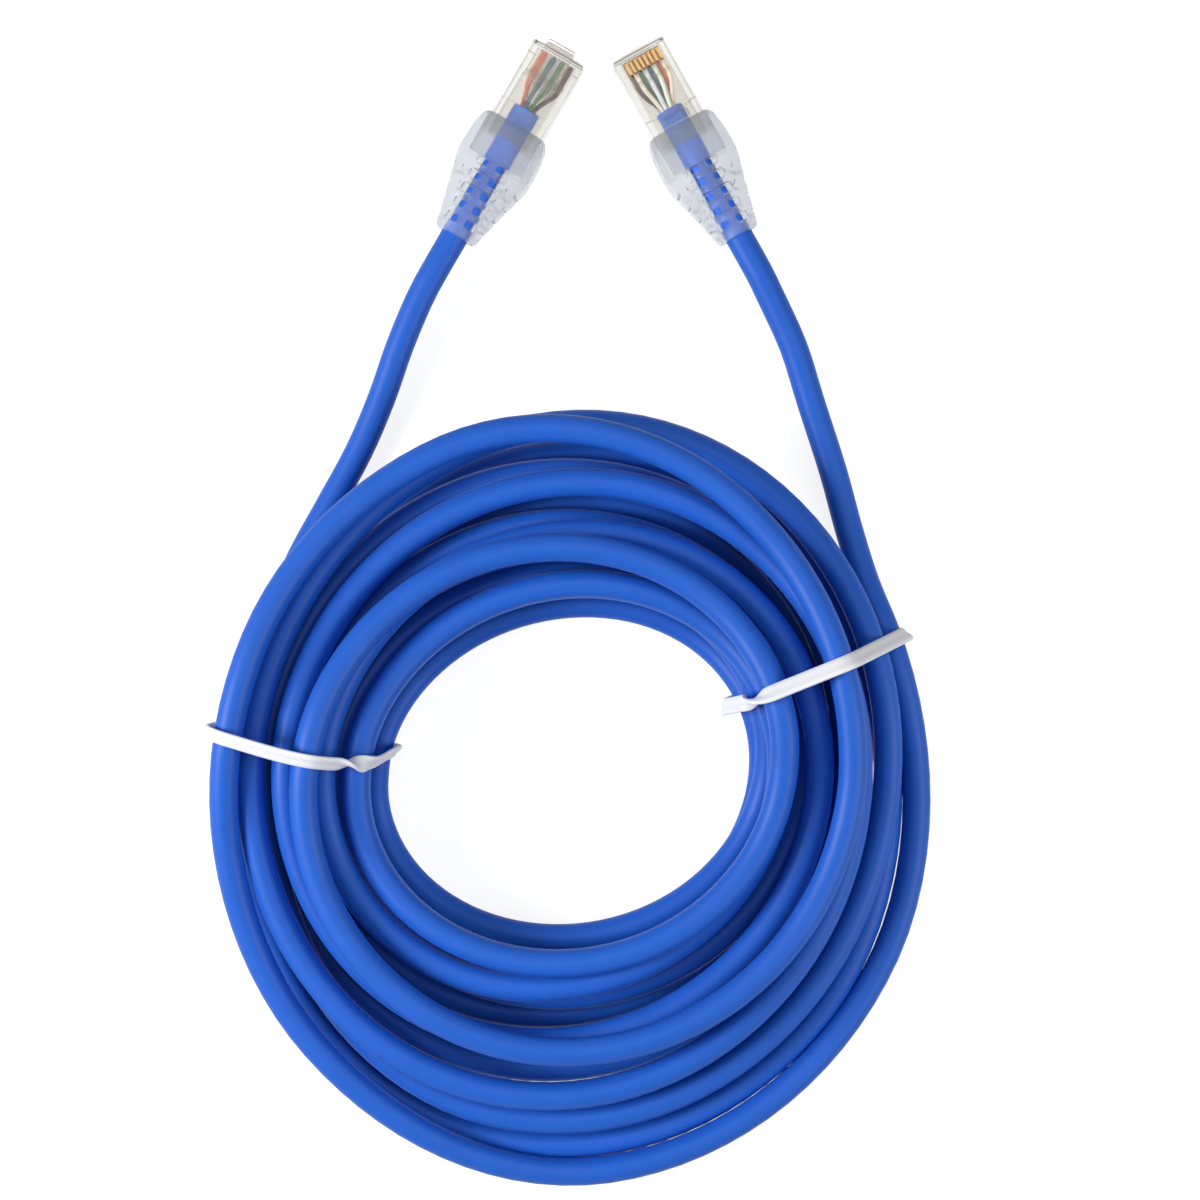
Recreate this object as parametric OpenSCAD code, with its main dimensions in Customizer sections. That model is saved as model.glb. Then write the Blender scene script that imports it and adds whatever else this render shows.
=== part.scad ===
// Patch cable with two eight-way modular plugs, coiled and held by two twist ties.
// Millimetres, +Z up. The coil and the boots lie on z = 0, the plugs point towards +Y,
// and the origin is below the middle of the whole lead's outline.
// End "a" lies with its latch up, end "b" lies with its contacts up.

/* [Cable] */
// Outside diameter of the round jacket
cable_d = 5.8; // [5.2:0.1:6.0]
// Share of the diameter that is cut flat where the coil rests
rest_cut = 0.1; // [0.05:0.01:0.15]

/* [Coil] */
// Half length of the outermost turn along X
outer_rx = 68.4; // [66:0.1:72]
// Half length of the outermost turn along Y
outer_ry = 74.6; // [73:0.1:80]
// Half length of the innermost turn along X
inner_rx = 37.7; // [36:0.1:40]
// Half length of the innermost turn along Y
inner_ry = 31.1; // [29:0.1:33]
// How far the outermost turn leans towards +X at its far side
outer_lean = 1.3; // [0:0.1:3]
// How far the innermost turn leans towards +X at its far side
inner_lean = 3.5; // [0:0.1:4]
// Height from one layer of turns to the next
layer_step = 6.45; // [6.4:0.05:7]
// Angle at which the lead from plug a joins the coil
coil_start = 152; // [148:1:156]
// Height by which the ties and their twisted tails lift the turns
tie_lift = 4.0; // [3.8:0.1:5]
// Rings of the coil's tube in one turn
rings_per_turn = 24; // [20:1:30]

/* [Plug] */
// Width of the plug's clear housing
plug_w = 11.68; // [11.6:0.01:11.8]
// Length of the housing from its nose to its rear edge
plug_l = 21.4; // [21:0.1:22]
// Height of the housing at its nose
nose_h = 6.6; // [6.4:0.1:6.8]
// Height of the housing where the jacket enters
rear_h = 8.0; // [7.8:0.1:8.2]
// Spacing of the eight contacts
contact_pitch = 1.02; // [1.0:0.01:1.04]
// Thickness of one contact blade
blade_t = 0.35; // [0.3:0.01:0.4]
// Angle through which the latch can be pressed
latch_travel = 11; // [9:1:11]

/* [Boot] */
// Place of the boot's front edge behind the plug's nose
boot_front = 17.8; // [17:0.1:19]
// Place of the boot's rear edge behind the plug's nose
boot_rear = 43.3; // [43:0.1:44]
// Greatest width of the boot
boot_w = 16; // [15:0.1:17]
// Greatest thickness of the boot
boot_h = 14; // [13.8:0.1:15]
// Rows of windows along the tail
window_rows = 5; // [3:1:5]

/* [Ties] */
// Width of the tie's tape
tape_w = 3.6; // [3:0.1:4.5]
// Thickness of the tape
tape_t = 1.2; // [1:0.1:1.3]
// Turns of the twisted tail
tail_turns = 3; // [2:1:4]

/* [Hidden] */

// Names and colours of the eight wires, in the order of the contacts
WIRES = ["white_orange", "orange", "white_green", "blue", "white_blue", "green", "white_brown", "brown"];
WIRE_COLOURS = ["moccasin", "darkorange", "honeydew", "royalblue", "lightblue", "forestgreen", "tan", "sienna"];

cable_r = cable_d / 2;
rest_z = cable_r - cable_d * rest_cut;
up = [0, 0, 1];

// ---- The coil's route ----

outer_centre = [-1.2, -34.4];
inner_centre = [-2.5, -33.1];
// The number of turn widths between the two ellipses above
across_steps = 4.12;
// Each stretch of the winding: its turns, the turn width and the layer that it ends on,
// and 1 where it eases from one width to the next instead of spiralling at a steady rate
STRETCHES = [
    [0.20, 0.10, 0, 1],     // in along the floor
    [0.30, 0.50, 0, 1],
    [0.58, 1.04, 0, 0],
    [3.00, 4.10, 0, 0],
    [0.50, 3.49, 1, 0],     // up a layer at the inside
    [2.50, 1.00, 1, 0],     // out
    [0.30, -0.01, 1, 1],    // over the first turn's outer edge
    [0.35, 0.16, 1, 1],
    [0.35, 0.71, 2, 1],     // up a layer at the outside
    [3.00, 3.71, 2, 0],     // in
    [0.50, 3.19, 3, 0],     // up to the top layer
    [1.00, 1.39, 3, 0],     // out
    [0.32, 0.28, 3, 1],     // across the pile to its outer edge
    [0.12, -0.09, 2.8, 1],
    [0.18, -0.27, 1.5, 1],  // down past the left tie
    [0.15, -0.51, 0.3, 1],
    [0.15, -0.68, 0, 1],    // round the outside on the floor
    [0.14, -0.23, 0, 1]     // in to the lead to plug b
];
start_across = 0.04;
// A climb is done in this share of its half turn
climb_share = 0.8;
tie_angles = [172, 20];
lift_spread = 22;

function add(v, i = 0) = i < len(v) ? v[i] + add(v, i + 1) : 0;
function smooth(x) = let (c = max(0, min(1, x))) c * c * (3 - 2 * c);
function unit(v) = v / norm(v);
turns = add([for (s = STRETCHES) s[0]]);

// Turn width and layer at t turns from the start
function slot(t, i = 0, t0 = 0, from = [start_across, 0]) =
    let (s = STRETCHES[i], part = (t - t0) / s[0], eased = smooth(part))
    (t > t0 + s[0] && i < len(STRETCHES) - 1) ? slot(t, i + 1, t0 + s[0], [s[1], s[2]])
    : s[3] == 1 ? [from[0] + (s[1] - from[0]) * eased, from[1] + (s[2] - from[1]) * eased]
    : [from[0] + (s[1] - from[0]) * part, from[1] + (s[2] - from[1]) * smooth(part / climb_share)];

function angle_off(a, b) = let (d = (a - b) % 360) d > 180 ? d - 360 : d < -180 ? d + 360 : d;
function lift(a) = add([for (q = tie_angles) tie_lift * exp(-pow(angle_off(a, q) / lift_spread, 2))]);

// A point in plan at an angle and a turn width
function plan(a, across) =
    let (inward = across / across_steps)
    (1 - inward) * (outer_centre + [outer_rx * cos(a) + outer_lean * sin(a), outer_ry * sin(a)])
    + inward * (inner_centre + [inner_rx * cos(a) + inner_lean * sin(a), inner_ry * sin(a)]);

function coil_point(t) =
    let (a = coil_start + 360 * t, s = slot(t), p = plan(a, s[0]))
    [p[0], p[1], rest_z + layer_step * s[1] + lift(a)];

coil_rings = round(turns * rings_per_turn);
coil_path = [for (i = [0:coil_rings]) coil_point(turns * i / coil_rings)];
step = 0.001;
coil_in = unit(coil_point(step) - coil_point(0));
coil_out = unit(coil_point(turns) - coil_point(turns - step));

// The least gap between turns: each ring's centre against every run half a turn or more away
function run_gap(p, a, b) =
    let (d = b - a, s = max(0, min(1, (p - a) * d / (d * d))))
    norm(a + s * d - p) - cable_d;
least_gap = min([
    for (i = [0:coil_rings], j = [0:coil_rings - 1])
        if (abs(i - j) > rings_per_turn / 2) run_gap(coil_path[i], coil_path[j], coil_path[j + 1])
]);
coil_length = add([for (i = [1:coil_rings]) norm(coil_path[i] - coil_path[i - 1])]);

// ---- The plugs' places ----

// Each end: its nose, its turn about Z, and 180 where it lies with its latch up
ENDS = [
    [[-2.4, 113.8, boot_h / 2], 150, 180],
    [[13.3, 114.2, boot_h / 2], 209, 0]
];
function backward(e) = [-sin(ENDS[e][1]), cos(ENDS[e][1]), 0];
// The jacket's rigid end leaves the boot by half a diameter
jacket_front = 13.8;
jacket_rear = boot_rear + cable_r;
function jacket_exit(e) = ENDS[e][0] + jacket_rear * backward(e);

// The free leads' own points, between their square ends
LEG_A = [
    [-31.3, 63.4, 6.4], [-35.4, 53.9, 5.2], [-39.3, 43.1, 3.8], [-44, 32.3, 2.7], [-50, 21.3, 2.4], [-56, 10.3, 3.0]
];
LEG_B = [
    [40.8, 64.1, 6.4], [45.6, 53.8, 5.2], [49.3, 42.4, 3.8], [53.9, 28.3, 2.7], [57.2, 16.2, 2.7], [60.5, 5.3, 4.4]
];
leg_path_a = concat(
    [jacket_exit(0), jacket_exit(0) + cable_d * backward(0)],
    LEG_A,
    [coil_path[0] - cable_r * coil_in, coil_path[0]]
);
leg_path_b = concat(
    [jacket_exit(1), jacket_exit(1) + cable_d * backward(1)],
    LEG_B,
    [coil_path[coil_rings] + cable_r * coil_out, coil_path[coil_rings]]
);
leg_lengths = [for (p = [leg_path_a, leg_path_b]) add([for (i = [1:len(p) - 1]) norm(p[i] - p[i - 1])])];
echo(least_gap_between_turns = least_gap);
echo(cable_length = coil_length + leg_lengths[0] + leg_lengths[1] + 2 * (jacket_rear - jacket_front));

// ---- Swept tubes ----

function path_dir(p, i) = unit(p[min(i + 1, len(p) - 1)] - p[max(i - 1, 0)]);
function dirs(p) = [for (i = [0:len(p) - 1]) path_dir(p, i)];
function ring(p, d, r, sides, floor_z) =
    let (across = unit(cross(d, up)), above = cross(across, d))
    [for (k = [0:sides - 1])
        let (q = p + r * cos(360 * k / sides) * across + r * sin(360 * k / sides) * above)
        [q[0], q[1], max(q[2], floor_z)]];
function side_faces(rings, sides, first) =
    [for (i = [0:rings - 2], k = [0:sides - 1])
        let (a = first + i * sides + k, b = first + i * sides + (k + 1) % sides)
        each [[a, b, a + sides], [b, b + sides, a + sides]]];
function flipped(faces) = [for (f = faces) [f[2], f[1], f[0]]];

// A closed solid through rings of equal numbers of points
module skin(points, sides) {
    n = len(points) / sides;
    last = (n - 1) * sides;
    front = [for (k = [1:sides - 2]) [0, k + 1, k]];
    back = [for (k = [1:sides - 2]) [last, last + k, last + k + 1]];
    polyhedron(points, concat(side_faces(n, sides, 0), front, back));
}

// A solid tube along a path, its rings square to the given directions
module tube(path, d, r, sides, floor_z = -1000) {
    skin([for (i = [0:len(path) - 1]) each ring(path[i], d[i], r, sides, floor_z)], sides);
}

// A tube with a bore, both with the same number of sides
module hollow_tube(path, d, r, bore_r, sides) {
    n = len(path);
    inner = n * sides;
    last = (n - 1) * sides;
    points = concat(
        [for (i = [0:n - 1]) each ring(path[i], d[i], r, sides, -1000)],
        [for (i = [0:n - 1]) each ring(path[i], d[i], bore_r, sides, -1000)]
    );
    ends = [for (k = [0:sides - 1])
        let (m = (k + 1) % sides)
        each [[k, inner + k, m], [m, inner + k, inner + m],
            [last + k, last + m, inner + last + k], [last + m, inner + last + m, inner + last + k]]];
    polyhedron(points, concat(
        side_faces(n, sides, 0), flipped(side_faces(n, sides, inner)), ends));
}

coil_sides = 6;
cord_sides = 8;

module cable_coil() {
    color("royalblue")
        tube(coil_path, concat([coil_in], [for (i = [1:coil_rings - 1]) path_dir(coil_path, i)], [coil_out]),
            cable_r, coil_sides, 0);
}

module cable_leg(path, end_dir) {
    n = len(path);
    color("royalblue")
        tube(path, concat([unit(path[1] - path[0])], [for (i = [1:n - 2]) path_dir(path, i)], [end_dir]),
            cable_r, cord_sides, 0);
}

// ---- Twist ties ----

tie_clear = 0.35;
wire_t = 0.4;
tail_l = 12;
tail_w = 1.9;
tail_t = 1.0;
// The tail's end clears the surface that the lead lies on by this much
tail_rest = 0.15;
tail_rings = 6 * tail_turns;

// Turns that pass a tie, as their place across the bundle and their height
function tie_ref(e) = plan(tie_angles[e], 2);
function tie_dir(e) = unit(plan(tie_angles[e], 0) - plan(tie_angles[e], 4));
function tie_strands(e) =
    let (first = angle_off(tie_angles[e], coil_start) / 360)
    [for (k = [0:ceil(turns)])
        let (t = first + k)
        if (t >= 0 && t <= turns)
            let (p = coil_point(t)) [([p[0], p[1]] - tie_ref(e)) * tie_dir(e), p[2]]];

// The band's outline: at each angle, the turn that reaches furthest
function tie_rim(e, out) =
    let (strands = tie_strands(e))
    [for (a = [0:10:350])
        let (n = [cos(a), sin(a)], far = max([for (s = strands) s * n]))
        [for (s = strands) if (s * n > far - step) s + (cable_r + tie_clear + out) * n][0]];

// Sets a flat outline upright across the bundle
module across_bundle(e) {
    d = tie_dir(e);
    translate([tie_ref(e)[0], tie_ref(e)[1], 0])
        rotate([90, 0, atan2(d[1], d[0])])
            children();
}

// A point of the tail, which runs under the bundle along its turns: how far along it is,
// and its offset sideways and up from the tail's middle
function tail_at(e, part, x, z) =
    let (
        d = tie_dir(e),
        low = min([for (s = tie_strands(e)) s[1]]) - cable_r - tie_clear - tape_t,
        start_z = low + tape_t / 3,
        end_z = tail_w / 2 + tail_rest
    )
    concat(tie_ref(e) + d * x + [-d[1], d[0]] * tail_l * part,
        start_z + (end_z - start_z) * smooth(2 * part) + z);

// The two ends of the tape, twisted into one
module tie_tail(e) {
    sides = 8;
    skin([for (i = [0:tail_rings], k = [0:sides - 1])
        let (
            part = i / tail_rings,
            a = 360 * tail_turns * part,
            across = tail_w / 2 * cos(360 * k / sides),
            out = tail_t / 2 * sin(360 * k / sides)
        )
        tail_at(e, part, across * cos(a) - out * sin(a), across * sin(a) + out * cos(a))], sides);
}

module tail_wires(e) {
    wind_r = tail_w / 4;
    for (half = [0, 180]) {
        path = [for (i = [0:tail_rings])
            let (part = i / tail_rings, a = half + 360 * tail_turns * part)
            tail_at(e, part, wind_r * cos(a), wind_r * sin(a))];
        tube(path, dirs(path), wire_t / 2, coil_sides);
    }
}

// A band round the bundle, between two clearances
module tie_band(e, w, inner, outer) {
    across_bundle(e)
        linear_extrude(w, center = true)
            difference() {
                polygon(tie_rim(e, outer));
                polygon(tie_rim(e, inner));
            }
}

module twist_tie(e) {
    color("white") {
        tie_band(e, tape_w, 0, tape_t);
        tie_tail(e);
    }
}

module tie_wire(e) {
    color("dimgray") {
        tie_band(e, wire_t, (tape_t - wire_t) / 2, (tape_t + wire_t) / 2);
        tail_wires(e);
    }
}

// ---- Plug ----
// In the plug's own frame x runs across it, y from its nose back along the cable, and z up
// through the side with the contacts; the cable's axis is x = z = 0.

module at_end(e) {
    translate(ENDS[e][0])
        rotate([0, 0, ENDS[e][1]])
            rotate([0, ENDS[e][2], 0])
                children();
}

// Draws a side profile (y, z) across a width
module across_plug(w) {
    rotate([90, 0, 90])
        linear_extrude(w, center = true)
            children();
}

top_z = rear_h / 2;
nose_z = top_z - nose_h;
step_y = 13.8;
wall_t = 0.55;
wire_d = 0.95;
channel_d = 1.05;
core_d = 0.5;
row_z = [1.75, 1.05];
guide_front = 6.0;
guide_rear = 7.2;
guide_w = 8.8;
guide_top = 2.7;
cavity_w = 9;
jacket_room = 6.1;
slot_w = 0.5;
slot_front = 0.9;
slot_rear = 5.6;
bar_front = 15.2;
bar_rear = 17.2;
bar_w = 6.8;
bar_z = 2.35;

function wire_x(i) = (i - 3.5) * contact_pitch;
function wire_z(i) = row_z[i % 2];

module housing_profile() {
    lip = 0.5;
    // The step in the top just behind the nose
    top_step_y = 2.4;
    top_step = 0.35;
    polygon([
        [0, nose_z + lip], [lip, nose_z], [step_y, nose_z], [step_y, -top_z], [plug_l, -top_z],
        [plug_l, top_z], [top_step_y, top_z], [top_step_y, top_z - top_step],
        [lip, top_z - top_step], [0, top_z - top_step - lip]
    ]);
}

// A strip across the plug whose two front corners are rounded, seen from above
module rounded_strip(w, front, rear, corner) {
    translate([-w / 2, front + corner])
        square([w, rear - front - corner]);
    translate([corner - w / 2, front])
        square([w - 2 * corner, rear - front]);
    for (side = [-1, 1])
        translate([side * (w / 2 - corner), front + corner])
            circle(corner, $fn = 32);
}

module plug_housing() {
    front_wall = 1.2;
    nose_corner = 0.8;
    rib_drop = 0.2;
    recess_z = 3.35;
    recess_edge = 0.3;
    color("gainsboro", 0.4) {
        difference() {
            intersection() {
                across_plug(plug_w)
                    housing_profile();
                translate([0, 0, -top_z])
                    linear_extrude(rear_h)
                        rounded_strip(plug_w, 0, plug_l, nose_corner);
            }
            // Eight round channels that hold the wires' ends, each below its contact's slot
            for (i = [0:7]) {
                translate([wire_x(i), front_wall, wire_z(i)])
                    rotate([-90, 0, 0])
                        cylinder(h = guide_front - front_wall + 1, d = channel_d, $fn = 32);
                translate([wire_x(i) - slot_w / 2, slot_front, wire_z(i)])
                    cube([slot_w, slot_rear - slot_front, top_z]);
            }
            // The ribs between the slots are a little lower than the margins
            translate([-guide_w / 2, slot_front, top_z - rib_drop])
                cube([guide_w, slot_rear - slot_front, 1]);
            // Room for the wire guide, the fanned wires and the jacket
            translate([-cavity_w / 2, guide_front, 0])
                cube([cavity_w, guide_rear - guide_front + 1, guide_top]);
            translate([-cavity_w / 2, guide_rear, nose_z + wall_t])
                cube([cavity_w, step_y - guide_rear + 1, guide_top - nose_z - wall_t]);
            translate([-cavity_w / 2, step_y, -jacket_room / 2])
                cube([cavity_w, plug_l, jacket_room]);
            // The recess left in the top where the strain relief bar was pressed down
            translate([-bar_w / 2, bar_front - recess_edge, recess_z])
                cube([bar_w, bar_rear - bar_front + 2 * recess_edge, 1]);
        }
        translate([-bar_w / 2 + recess_edge, bar_front, bar_z])
            cube([bar_w - 2 * recess_edge, bar_rear - bar_front, recess_z - bar_z]);
        // The shelf that the latch's knuckle bends down from
        translate([0, 0, shelf_z])
            linear_extrude(shelf_t)
                rounded_strip(catch_w, hinge_y, slot_front, hinge_r);
    }
}

hinge_y = -0.6;
hinge_r = 0.65;
hinge_z = -3.05;
hinge_gap = 0.1;
shelf_z = hinge_z + hinge_r + hinge_gap;
shelf_t = 1.1;
latch_tip_y = 12.9;
catch_y = 8.1;
catch_w = 6.3;
lever_w = 3.25;

// The latch's side profile when it is pressed flat against the plug
module latch_profile() {
    arm_t = 1.0;
    pressed_gap = 0.2;
    top = nose_z - pressed_gap;
    low = top - arm_t;
    catch_front = 4.6;
    catch_depth = 0.75;
    lip = 0.4;
    knuckle_steps = 16;
    // The knuckle's arc, from the arm's top face over the front to below the hinge
    knuckle_start = asin((top - hinge_z) / hinge_r);
    knuckle = [for (i = [0:knuckle_steps])
        let (a = knuckle_start + (270 - knuckle_start) * i / knuckle_steps)
        [hinge_y + hinge_r * cos(a), hinge_z + hinge_r * sin(a)]];
    polygon(concat(knuckle, [
        [catch_front, low], [catch_y, low - catch_depth], [catch_y, low], [latch_tip_y - lip, low],
        [latch_tip_y, low + lip], [latch_tip_y, top - lip], [latch_tip_y - lip, top]
    ]));
}

// As wide as the jack's catch as far as catch_y, then the finger's narrow lever
module latch_plan() {
    shoulder_w = 4.3;
    rounded_strip(catch_w, hinge_y - hinge_r, catch_y, hinge_r);
    polygon([
        [-shoulder_w / 2, catch_y - hinge_r], [shoulder_w / 2, catch_y - hinge_r],
        [lever_w / 2, latch_tip_y], [-lever_w / 2, latch_tip_y]
    ]);
}

// The latch stands off from the plug by its whole travel
module latch() {
    color("gainsboro", 0.5)
        translate([0, hinge_y, hinge_z])
            rotate([-latch_travel, 0, 0])
                translate([0, -hinge_y, -hinge_z])
                    intersection() {
                        across_plug(catch_w)
                            latch_profile();
                        translate([0, 0, -rear_h])
                            linear_extrude(rear_h)
                                latch_plan();
                    }
}

// Gold blades: a rounded top edge and two teeth that bite through the wire
module contacts() {
    front = 1.4;
    rear = 4.4;
    top = 3.7;
    corner = 0.35;
    base = 2.5;
    // Each tooth's half width, and how far its tip passes the middle of the wire
    tooth = 0.35;
    bite = 0.1;
    teeth = [2.2, 3.6];
    color("gold")
        for (i = [0:7])
            translate([wire_x(i), 0, 0])
                across_plug(blade_t)
                    polygon([
                        [front, base], [front, top - corner], [front + corner, top],
                        [rear - corner, top], [rear, top - corner], [rear, base],
                        [teeth[1] + tooth, base], [teeth[1], wire_z(i) - bite], [teeth[1] - tooth, base],
                        [teeth[0] + tooth, base], [teeth[0], wire_z(i) - bite], [teeth[0] - tooth, base]
                    ]);
}

module wire_guide() {
    room = 0.1;
    color("gainsboro", 0.5)
        difference() {
            translate([-guide_w / 2, guide_front + room, 0])
                cube([guide_w, guide_rear - guide_front - 3 * room, guide_top - room]);
            for (i = [0:7])
                translate([wire_x(i), 0, wire_z(i)])
                    rotate([-90, 0, 0])
                        cylinder(h = plug_l, d = channel_d, $fn = 32);
        }
}

// Where a wire runs: straight through the guide, then gathered into a round bunch.
// The lower row drops before the upper row closes in over it.
bunch_r = 1.45;
WIRE_STATIONS = [1.4, 6, 7.2, 8.6, 10, 11.4, 12.6, 13.8, 16.8];
function bunch_angle(i) = (i % 2 == 0 ? 1 : -1) * (157.5 - 45 * floor(i / 2));
function wire_path(i) = [for (y = WIRE_STATIONS)
    let (
        part = (y - guide_rear) / (jacket_front - guide_rear),
        gathered = smooth(part),
        dropped = smooth(i % 2 == 0 ? part : 2 * part)
    )
    [wire_x(i) + (bunch_r * cos(bunch_angle(i)) - wire_x(i)) * gathered, y,
        wire_z(i) + (bunch_r * sin(bunch_angle(i)) - wire_z(i)) * dropped]];

module wire(i) {
    core_room = 0.04;
    color(WIRE_COLOURS[i])
        hollow_tube(wire_path(i), dirs(wire_path(i)), wire_d / 2, core_d / 2 + core_room, cord_sides);
}

module conductors() {
    color("peru")
        for (i = [0:7])
            tube(wire_path(i), dirs(wire_path(i)), core_d / 2, coil_sides);
}

// The jacket's end: bored for the wires, and pressed in under the strain relief bar
module jacket_end() {
    bore_r = 2.1;
    bore_l = 3.2;
    squeeze = 0.05;
    color("royalblue")
        difference() {
            translate([0, jacket_front, 0])
                rotate([-90, 0, 0])
                    cylinder(h = jacket_rear - jacket_front, r = cable_r, $fn = 64);
            translate([0, jacket_front - 1, 0])
                rotate([-90, 0, 0])
                    cylinder(h = bore_l + 1, r = bore_r, $fn = 64);
            translate([-cable_r, bar_front - squeeze, bar_z - squeeze])
                cube([cable_d, bar_rear - bar_front + 2 * squeeze, cable_r]);
        }
}

// ---- Boot ----

// Sections of the boot: place, half width, half height and corner radius
BOOT = [
    [boot_front, 6.9, 6.0, 2.4],
    [boot_front + 1.2, 7.5, 6.5, 2.8],
    [22, 7.9, 6.9, 3],
    [27.6, boot_w / 2, boot_h / 2, 3],
    [33, 6.7, 6.3, 3.6],
    [38, 5.5, 5.4, 3.8],
    [boot_rear - 1, 4.7, 4.7, 4],
    [boot_rear, 4, 4, 3.8]
];
boot_sides = 24;
pocket_rear = 26.6;
window_pitch = 3.2;
first_window = 27.5;
window_x = 2.1;
window_l = 2.5;
window_w = 1.6;
window_floor = 2;
// Half the boot's width (1) or height (2) at a place along it
function boot_half(y, which) = lookup(y, [for (s = BOOT) [s[0], s[which]]]);
function boot_section(s) = [for (k = [0:boot_sides - 1])
    let (a = 360 * (k + 0.5) / boot_sides)
    [sign(cos(a)) * (s[1] - s[3]) + s[3] * cos(a), s[0], sign(sin(a)) * (s[2] - s[3]) + s[3] * sin(a)]];

module window() {
    end_r = window_w / 2;
    linear_extrude(boot_h) {
        square([window_l - window_w, window_w], center = true);
        for (x = [-1, 1])
            translate([x * (window_l - window_w) / 2, 0])
                circle(end_r, $fn = 24);
    }
}

// A shallow groove round the tail, from each window out to both flanks
module tail_groove(y) {
    groove_w = 0.5;
    flank_depth = 0.4;
    face_depth = 0.25;
    for (side = [-1, 1]) {
        translate([side * (boot_half(y, 1) + boot_w / 2 - flank_depth), y, 0])
            cube([boot_w, groove_w, 2 * boot_h], center = true);
        translate([0, y, side * (boot_half(y, 2) + boot_h / 2 - face_depth)])
            cube([2 * boot_w, groove_w, boot_h], center = true);
    }
}

module boot() {
    plug_room = 0.1;
    bore_room = 0.15;
    color("whitesmoke", 0.5)
        difference() {
            skin([for (s = BOOT) each boot_section(s)], boot_sides);
            // The pocket for the plug's rear, and the bore for the jacket
            translate([-plug_w / 2 - plug_room, boot_front - 1, -top_z - plug_room])
                cube([plug_w + 2 * plug_room, pocket_rear - boot_front + 1, 2 * (top_z + plug_room)]);
            translate([0, boot_front, 0])
                rotate([-90, 0, 0])
                    cylinder(h = boot_rear, r = cable_r + bore_room, $fn = 64);
            // Windows through both broad sides, in two columns
            for (row = [0:window_rows - 1], x = [-1, 1], side = [0, 180])
                rotate([0, side, 0])
                    translate([x * window_x, first_window + row * window_pitch, window_floor])
                        window();
            for (row = [1:window_rows - 1])
                tail_groove(first_window + row * window_pitch);
        }
}

cable_coil();
cable_leg(leg_path_a, coil_in);  // cable_leg_a
cable_leg(leg_path_b, -coil_out);  // cable_leg_b
twist_tie(0);  // twist_tie_left
twist_tie(1);  // twist_tie_right
tie_wire(0);  // tie_wire_left
tie_wire(1);  // tie_wire_right

for (e = [0, 1]) {
    tail = ["_a", "_b"][e];
    at_end(e) jacket_end();
    at_end(e) boot();
    at_end(e) plug_housing();
    at_end(e) latch();
    at_end(e) contacts();
    at_end(e) wire_guide();
    at_end(e) conductors();
    for (i = [0:7])
        at_end(e) wire(i);
}
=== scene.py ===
import bpy
import math
from mathutils import Matrix, Vector


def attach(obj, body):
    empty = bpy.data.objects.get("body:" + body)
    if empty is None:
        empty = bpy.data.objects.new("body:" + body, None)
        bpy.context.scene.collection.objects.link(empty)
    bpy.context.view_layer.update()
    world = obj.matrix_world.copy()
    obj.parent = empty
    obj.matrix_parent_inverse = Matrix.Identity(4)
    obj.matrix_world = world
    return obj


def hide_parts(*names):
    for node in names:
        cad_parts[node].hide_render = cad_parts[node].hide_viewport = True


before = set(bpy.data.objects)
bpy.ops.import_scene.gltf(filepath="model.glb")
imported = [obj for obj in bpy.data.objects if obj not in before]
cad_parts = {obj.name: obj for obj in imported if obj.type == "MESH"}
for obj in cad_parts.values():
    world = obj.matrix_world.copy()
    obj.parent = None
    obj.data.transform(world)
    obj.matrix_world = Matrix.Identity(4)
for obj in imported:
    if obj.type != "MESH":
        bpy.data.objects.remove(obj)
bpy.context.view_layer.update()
mm = 0.001
print("frame loaded,", len(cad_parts), "nodes")


def smooth(x):
    c = max(0.0, min(1.0, x))
    return c * c * (3 - 2 * c)


def deselectAll():
    if bpy.context.object and bpy.context.object.mode != "OBJECT":
        bpy.ops.object.mode_set(mode="OBJECT")
    bpy.ops.object.select_all(action="DESELECT")


def activate(piece):
    deselectAll()
    piece.select_set(True)
    bpy.context.view_layer.objects.active = piece


def paint(piece, material):
    if not piece.material_slots:
        piece.data.materials.append(material)
    for slot in piece.material_slots:
        slot.material = material


# ------ camera, floor and lamps

cameraValues = {
    "place": (5.8, 1.6, 657.0),      # mm, straight above a point near the middle
    "lens": 95.0,
    "sensor": 36.0,
    "reach": 50,                     # m, how far it sees
}


def setCamera():
    data = bpy.data.cameras.new("camera")
    data.lens = cameraValues["lens"]
    data.sensor_width = cameraValues["sensor"]
    data.clip_end = cameraValues["reach"]
    camera = bpy.data.objects.new("camera", data)
    camera.location = Vector(cameraValues["place"]) * mm
    bpy.context.scene.collection.objects.link(camera)
    bpy.context.scene.camera = camera


def hexColour(code):
    # sRGB hex to the linear values that a socket holds
    parts = [int(code[i:i + 2], 16) / 255 for i in (1, 3, 5)]
    return tuple(c / 12.92 if c <= 0.04045 else ((c + 0.055) / 1.055) ** 2.4 for c in parts) + (1.0,)


def addNode(tree, kind, sockets=None, **settings):
    # A new node; a socket takes a plain value or another node's output
    node = tree.nodes.new(kind)
    for name, value in settings.items():
        setattr(node, name, value)
    for name, value in (sockets or {}).items():
        if isinstance(value, bpy.types.NodeSocket):
            tree.links.new(value, node.inputs[name])
        else:
            node.inputs[name].default_value = value
    return node


def emptyMaterial(name):
    material = bpy.data.materials.new(name)
    material.use_nodes = True
    material.node_tree.nodes.clear()
    return material, material.node_tree


floorValues = {
    "size": 8.0,           # m
    "below": 0.1,          # mm, so that it doesn't share a plane with flat undersides
    "colour": "#9b9da0",
    "glow": 0.84,          # what the white background adds where the camera looks
}


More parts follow.
